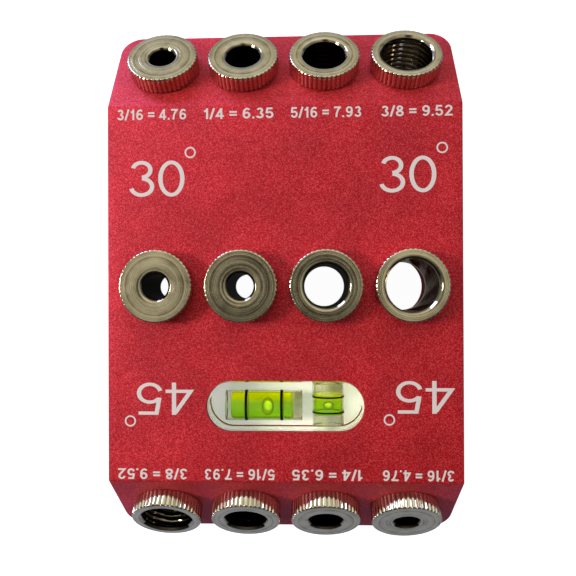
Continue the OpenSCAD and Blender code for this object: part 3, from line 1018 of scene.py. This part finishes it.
def makeVial(prefix, ways, openEnds):
    v = vials
    wall, edge, wet = v["wall"] * mm, v["edge"] * mm, v["wetting"] * mm
    endRound, endWet = v["endRounds"][prefix] * mm, v["endWetting"] * mm
    low, high, middle = boxOf(prefix + "_vial")
    radius, half = (high.z - low.z) / 2, (high[ways] - low[ways]) / 2
    bore, place = radius - wall, lyingAlong(ways, middle)
    outline = [(bore if openEnds else 0, -half), (radius - edge, -half), (radius, -half + edge),
               (radius, half - edge), (radius - edge, half), (bore, half)]
    if not openEnds:
        base = -half + v["closedEnd"] * mm
        outline += [(bore - inward, base + endRound - along)
                    for inward, along in quarterRound(endRound, v["endSteps"])] + [(0, base)]
    turnedPiece(prefix + "Vial", [outline], place, vialFinish, prefix + "_vial",
                openEnds)
    liquidLow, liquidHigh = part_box(prefix + "_liquid")
    less = v["crossPlugMore"] * mm if openEnds else 0
    start = liquidLow[ways] - middle[ways] + less - endWet
    end = liquidHigh[ways] - middle[ways] - less + endWet
    turnedPiece(prefix + "Liquid", [roundRod(bore + wet, start, end, endRound, v["endSteps"])],
                place, liquidFinish, prefix + "_liquid")
    return {"ways": ways, "middle": middle, "radius": radius, "bore": bore, "half": half,
            "place": place}


def makePlugs(name, node, vial, spans, cup=0.0):
    # the inner end of a plug with a cup is hollowed to the round end of the liquid
    radius = vial["bore"] + vials["wetting"] * mm
    outlines = []
    for start, end in spans:
        outline = roundRod(radius, start, end, vials["plugEdge"] * mm)
        if cup:
            hollow = [(radius - inward, start - cup + along)
                      for inward, along in quarterRound(cup, vials["endSteps"])]
            outline = [(0, start)] + hollow[::-1] + outline[-3:]
        outlines.append(outline)
    turnedPiece(name, outlines, vial["place"], plugFinish, node)


def makeRings(prefix, vial):
    # two printed bands, each in the middle of its CAD band
    v, ways = vials, vial["ways"]
    low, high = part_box(prefix + "_rings")
    half, seat = v["ringWidths"][prefix] * mm / 2, v["ringSeat"] * mm
    inner = vial["radius"] + v["ringLift"] * mm
    outer = inner + v["ringThickness"] * mm
    bands = [low[ways] - vial["middle"][ways] + seat, high[ways] - vial["middle"][ways] - seat]
    outlines = [[(inner, at - half), (outer, at - half), (outer, at + half), (inner, at + half)]
                for at in bands]
    turnedPiece(prefix + "Rings", outlines, vial["place"], ringFinish, prefix + "_rings",
                True)


def makeBubble(prefix, vial):
    # oval pocket pressed up against the vial's round roof
    node, ways, steps = prefix + "_bubble", vial["ways"], vials["bubbleSteps"]
    low, high, middle = boxOf(node)
    across, depth, crown = 1 - ways, high.z - low.z, vials["bubbleCrown"]
    halfLong, halfWide = (high[ways] - low[ways]) / 2, (high[across] - low[across]) / 2
    glass = vial["bore"] + 2 * vials["wetting"] * mm

    def build(bm):
        layers = []
        for i in range(steps // 2 + 1):
            lift = math.pi * i / (steps // 2)            # 0 on top, pi underneath
            share = crown if lift < math.pi / 2 else 1 - crown
            ring = []
            for j in range(1 if i in (0, steps // 2) else steps):
                turn = math.tau * j / steps
                wide = halfWide * math.sin(lift) * math.sin(turn)
                roof = vial["middle"].z + math.sqrt(glass ** 2 - wide ** 2)
                point = Vector((0, 0, roof - depth * crown + depth * share * math.cos(lift)))
                point[ways] = middle[ways] + halfLong * math.sin(lift) * math.cos(turn)
                point[across] = middle[across] + wide
                ring.append(bm.verts.new(point))
            layers.append(ring)
        joinRings(bm, layers, steps)
        bmesh.ops.recalc_face_normals(bm, faces=bm.faces)

    piece = addShape(prefix + "Bubble", build)
    rim = piece.data.attributes.new("rim", "FLOAT", "POINT")
    rim.data.foreach_set("value", [
        math.hypot((v.co[ways] - middle[ways]) / halfLong, (v.co[across] - middle[across]) / halfWide)
        for v in piece.data.vertices])
    finishPiece(piece, bubbleFinish, node + "_body", node, 80)


def makeLevel():
    makeHousing()
    makePad()
    vial = makeVial("long", 0, False)
    low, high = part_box("long_plug")
    x = vial["middle"].x
    makePlugs("longPlug", "long_plug", vial, [(low.x - x, high.x - x)], vials["endRounds"]["long"] * mm)
    makeRings("long", vial)
    makeBubble("long", vial)
    vial = makeVial("cross", 1, True)
    low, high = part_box("cross_liquid")
    y, half, more = vial["middle"].y, vial["half"], vials["crossPlugMore"] * mm
    makePlugs("crossPlugs", "cross_plugs", vial, [(-half, low.y - y + more), (high.y - y - more, half)])
    makeRings("cross", vial)
    makeBubble("cross", vial)


makeLevel()
print("level ready")


# Camera, fitted to the corners of the block and the rims of the bushes in the photograph

cameraFit = {
    "place": (4.344, -1.179, 121.842),   # mm
    "turnX": -0.184,                     # degrees about the scene's X, then Y, then Z
    "turnY": -2.005,
    "turnZ": 0.222,
    "focalPixels": 550.58,
    "imagePixels": 576,
    "sensorWidth": 36,                   # mm
    "clipStart": 5,
}


def makeCamera():
    c = cameraFit
    data = bpy.data.cameras.new("camera")
    data.sensor_fit = "HORIZONTAL"
    data.sensor_width = c["sensorWidth"]
    data.lens = c["focalPixels"] / c["imagePixels"] * c["sensorWidth"]
    data.clip_start = c["clipStart"] * mm
    camera = addObject("camera", data)
    toCamera = (Matrix.Rotation(math.radians(c["turnZ"]), 4, "Z")
                @ Matrix.Rotation(math.radians(c["turnY"]), 4, "Y")
                @ Matrix.Rotation(math.radians(c["turnX"]), 4, "X"))
    camera.matrix_world = Matrix.Translation([v * mm for v in c["place"]]) @ toCamera.inverted()
    bpy.context.scene.camera = camera


makeCamera()


# Floor, lamps and world

def seenByLens(tree):
    # 1 for what the lens sees, straight or through clear pieces, and the outputs that tell rays apart
    path = addNode(tree, "ShaderNodeLightPath").outputs
    clear = addNode(tree, "ShaderNodeMath", {
        0: path["Is Camera Ray"], 1: path["Is Transmission Ray"]}, operation="MAXIMUM")
    return clear.outputs[0], path


ground = {
    "half": 3.0,                  # m from its middle to its edges
    "colour": "#a8b4d4",
    "white": 0.97,                # as the lens sees it
    # painted reflection: the floor glows brighter round here for the metal alone, so that the widest
    # upright bore's walls mirror light
    "brightSpot": (24, 0, 0),     # mm, under the widest upright bore
    "spotEdge": (7, 9),           # mm from there, where what the metal sees of it falls off
    "spotShares": (0.22, 0.015),
}


def makeFloor():
    g = ground
    mesh = bpy.data.meshes.new("floor")
    corners = [(x * g["half"], y * g["half"], 0) for x, y in ((-1, -1), (1, -1), (1, 1), (-1, 1))]
    mesh.from_pydata(corners, [], [(0, 1, 2, 3)])
    floor = addObject("floor", mesh)
    material, tree, shader, place = startMaterial("paleFloor")
    setSockets(tree, shader, {"Base Color": toLinear(g["colour"]), "Roughness": 0.9})
    # white where the lens sees it, straight or through the bores and the level, with its shadow kept;
    # the metal sees it too, but dimmer, as in the photograph; brightest in the widest upright bore
    clear, path = seenByLens(tree)
    # painted reflection: the glow that only the metal sees, strongest round the bright spot
    away = addNode(tree, "ShaderNodeVectorMath", {
        0: place, 1: [v * mm for v in g["brightSpot"]]}, operation="DISTANCE")
    share = addNode(tree, "ShaderNodeMapRange", {
        "Value": away.outputs["Value"],
        "From Min": g["spotEdge"][0] * mm, "From Max": g["spotEdge"][1] * mm,
        "To Min": g["spotShares"][0], "To Max": g["spotShares"][1]})
    metal = addNode(tree, "ShaderNodeMath", {
        0: path["Is Glossy Ray"], 1: share.outputs[0]}, operation="MULTIPLY")
    seen = addNode(tree, "ShaderNodeMath", {0: clear, 1: metal.outputs[0]}, operation="MAXIMUM")
    light = addNode(tree, "ShaderNodeMath", {0: seen.outputs[0], 1: g["white"]}, operation="MULTIPLY")
    glow = addNode(tree, "ShaderNodeEmission", {"Color": (1, 1, 1, 1), "Strength": light.outputs[0]})
    total = addNode(tree, "ShaderNodeAddShader", {0: shader.outputs[0], 1: glow.outputs[0]})
    setSockets(tree, tree.nodes["Material Output"], {"Surface": total.outputs[0]})
    mesh.materials.append(material)


lamps = {
    "aim": (0, 0, 15),   # mm
    "list": [
        # name, place in mm, size in mm, watts, colour
        ("window", (-700, 920, 210), 420, 6.9, "#c6ccff"),
        ("sideWindow", (-690, 50, 520), 220, 5.0, "#fff2e4"),
    ],
}


def makeLamps():
    aim = Vector([v * mm for v in lamps["aim"]])
    for name, place, size, watts, colour in lamps["list"]:
        data = bpy.data.lights.new(name, "AREA")
        data.shape = "RECTANGLE"
        data.size = data.size_y = size * mm
        data.energy = watts
        data.color = toLinear(colour)[:3]
        spot = Vector([v * mm for v in place])
        turn = (aim - spot).to_track_quat("-Z", "Y").to_matrix().to_4x4()
        addObject(name, data).matrix_world = Matrix.Translation(spot) @ turn


room = {
    "strength": 1.07,
    # tones from level to overhead, and from the far side to the window's
    "up": [(0.0, "#7c7a74"), (0.2, "#ccc4a4"), (0.3, "#e2dfd6"), (0.55, "#e2dcce"), (0.9, "#e6dcc0")],
    "across": [(0.0, "#2a2a2a"), (0.3, "#464646"), (0.5, "#d4d4d4"), (0.8, "#ffffff")],
    "wallsFrom": (0.35, 0.7),         # how far to either side the light falls off
    "wallsShares": (1.35, 0.55),
    "lensWay": (-0.035, 0.0, 1.0),
    "lens": [(0.06, "#040404"), (0.13, "#2e2e2e"), (0.18, "#808080"), (0.23, "#ffffff")],
}


def makeWorld():
    # a room, bright towards the window side, dim overhead where the lens is
    world = bpy.data.worlds.new("room")
    bpy.context.scene.world = world
    world.use_nodes = True
    tree = world.node_tree
    turned = addNode(tree, "ShaderNodeTexCoord").outputs["Generated"]
    way = addNode(tree, "ShaderNodeSeparateXYZ", {0: turned}).outputs
    share = addNode(tree, "ShaderNodeMath", {0: way["Y"], 1: 0.5, 2: 0.5}, operation="MULTIPLY_ADD")
    # the lens and the hand that holds it darken what the faces mirror
    fromLens = addNode(tree, "ShaderNodeVectorMath", {0: turned, 1: room["lensWay"]},
                       operation="DISTANCE")
    up, across, lens = [
        setRamp(addNode(tree, "ShaderNodeValToRGB", {"Fac": fac}), room[name]).outputs["Color"]
        for name, fac in (("up", way["Z"]), ("across", share.outputs[0]),
                          ("lens", fromLens.outputs["Value"]))]
    sideways = addNode(tree, "ShaderNodeMath", {0: way["X"]}, operation="ABSOLUTE")
    walls = addNode(tree, "ShaderNodeMapRange", {
        "Value": sideways.outputs[0],
        "From Min": room["wallsFrom"][0], "From Max": room["wallsFrom"][1],
        "To Min": room["wallsShares"][0], "To Max": room["wallsShares"][1]})
    bright = addNode(tree, "ShaderNodeMath", {0: across, 1: lens}, operation="MULTIPLY")
    whole = addNode(tree, "ShaderNodeMath", {0: bright.outputs[0], 1: walls.outputs[0]},
                    operation="MULTIPLY")
    tint = addNode(tree, "ShaderNodeVectorMath", {0: up, "Scale": whole.outputs[0]}, operation="SCALE")
    # white where the lens looks, straight or through the level; the metal sees the room's own tones
    seen = addNode(tree, "ShaderNodeMix", {
        0: seenByLens(tree)[0], 6: tint.outputs[0], 7: (1, 1, 1, 1)}, data_type="RGBA")
    setSockets(tree, tree.nodes["Background"], {"Color": seen.outputs[2], "Strength": room["strength"]})


makeFloor()
makeLamps()
makeWorld()
bpy.context.scene.view_settings.view_transform = "Standard"
print("scene ready")
